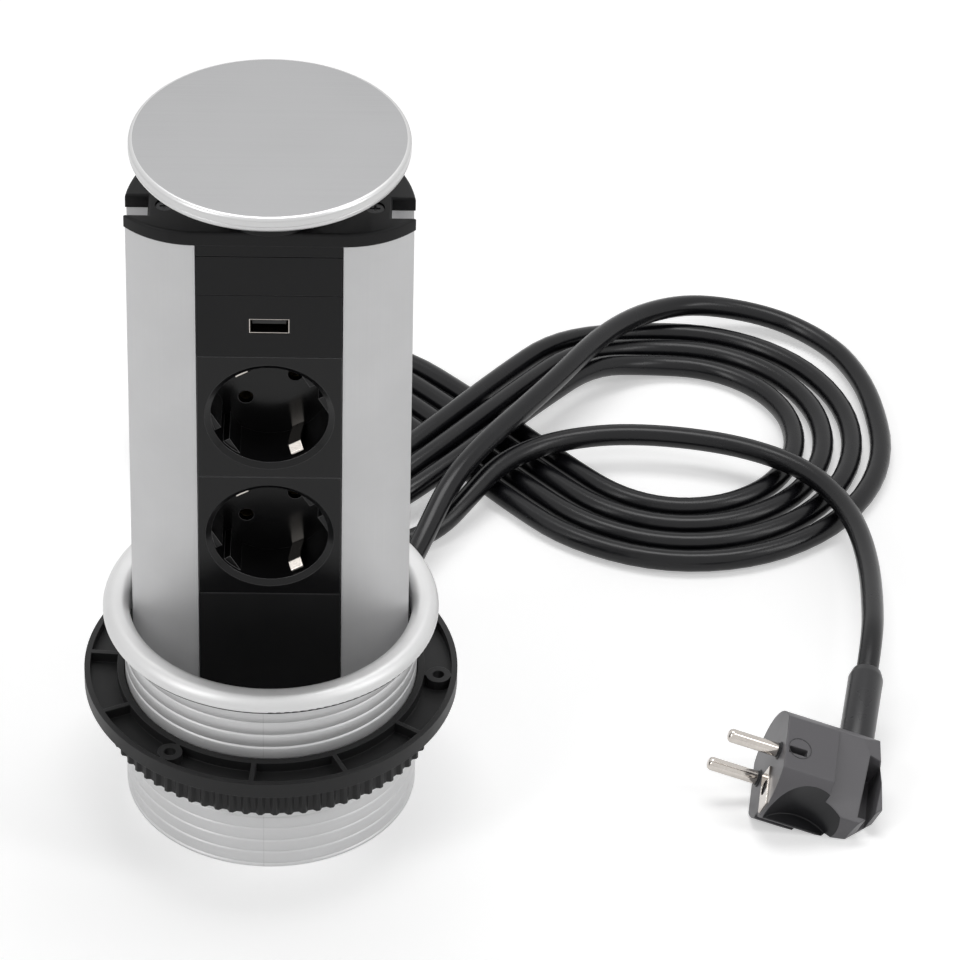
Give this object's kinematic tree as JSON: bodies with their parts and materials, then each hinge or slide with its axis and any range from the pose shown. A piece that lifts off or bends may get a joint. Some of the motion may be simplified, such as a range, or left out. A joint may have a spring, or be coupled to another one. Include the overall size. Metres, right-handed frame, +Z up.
{
  "type": "pull-up worktop power strip",
  "caption": "Recessed power strip: a silver tower with earthed sockets and a USB charger slides up out of a round worktop sleeve, with coiled cord and angled plug.",
  "frame": {"origin": "middle of the sleeve's foot, on the surface that it stands on", "axes": "+Z up along the tower, -Y towards the sockets' front, +X to the right seen from the front"},
  "size_m": [0.2936, 0.3308, 0.2683],
  "materials": {
    "silver_aluminium": "satin anodised",
    "polished_metal": "brushed face and bright rounded rim",
    "black_plastic": "matt black",
    "guide_plastic": "matt dark grey",
    "nickel": "bright nickel plate",
    "brass": "plain brass",
    "zinc_steel": "zinc plated",
    "rubber": "soft black",
    "cord_sheath": "satin black",
    "plug_plastic": "satin dark grey",
    "board": "green laminate",
    "core_plastic": "insulated wire"
  },
  "bodies": {
    "casing": {"sleeve": "silver_aluminium", "trim_ring": "polished_metal", "seal": "rubber", "guide_rails": "guide_plastic", "brake_pads": "rubber", "cord_lead": "cord_sheath", "cord_hank": "cord_sheath", "cord_tail": "cord_sheath", "plug_body": "plug_plastic", "plug_pins": "nickel", "plug_earth": "nickel", "plug_strain_relief": "plug_plastic"},
    "tower": {"tower_profile": "silver_aluminium", "top_cap": "black_plastic", "top_cap_screws": "zinc_steel", "lid_neck": "black_plastic", "lid": "polished_metal", "filler_plate": "black_plastic", "blank_plate": "black_plastic", "usb_plate": "black_plastic", "usb_shell": "nickel", "usb_tongue": "black_plastic", "usb_board": "board", "socket_insert_1": "black_plastic", "socket_insert_2": "black_plastic", "socket_base_1": "black_plastic", "socket_base_2": "black_plastic", "line_contacts_1": "brass", "line_contacts_2": "brass", "earth_clips_1": "nickel", "earth_clips_2": "nickel", "bus_bars": "brass", "earth_bar": "brass", "core_leads": "core_plastic", "bottom_cap": "black_plastic", "bottom_cap_screws": "zinc_steel", "cord_boot": "rubber", "cord_sheath": "cord_sheath", "cord_clamp": "guide_plastic", "clamp_screws": "zinc_steel"},
    "clamp": {"clamp_flange": "black_plastic"},
    "nut": {"lock_nut": "black_plastic"}
  },
  "joints": [
    {"name": "tower_slide", "type": "slide", "parent": "casing", "child": "tower", "axis": [0, 0, 1], "range_m": [-0.1888, 0]},
    {"name": "flange_slide", "type": "slide", "parent": "casing", "child": "clamp", "axis": [0, 0, 1], "range_m": [-0.012, 0.0195]},
    {"name": "nut_spin", "type": "hinge", "parent": "clamp", "child": "nut", "pos_m": [0, 0, 0.0363], "axis": [0, 0, 1], "range_deg": [-825, 1345]}
  ],
  "couplings": [
    {"joint": "flange_slide", "follows": "nut_spin", "m_per_rad": 0.0008276}
  ]
}
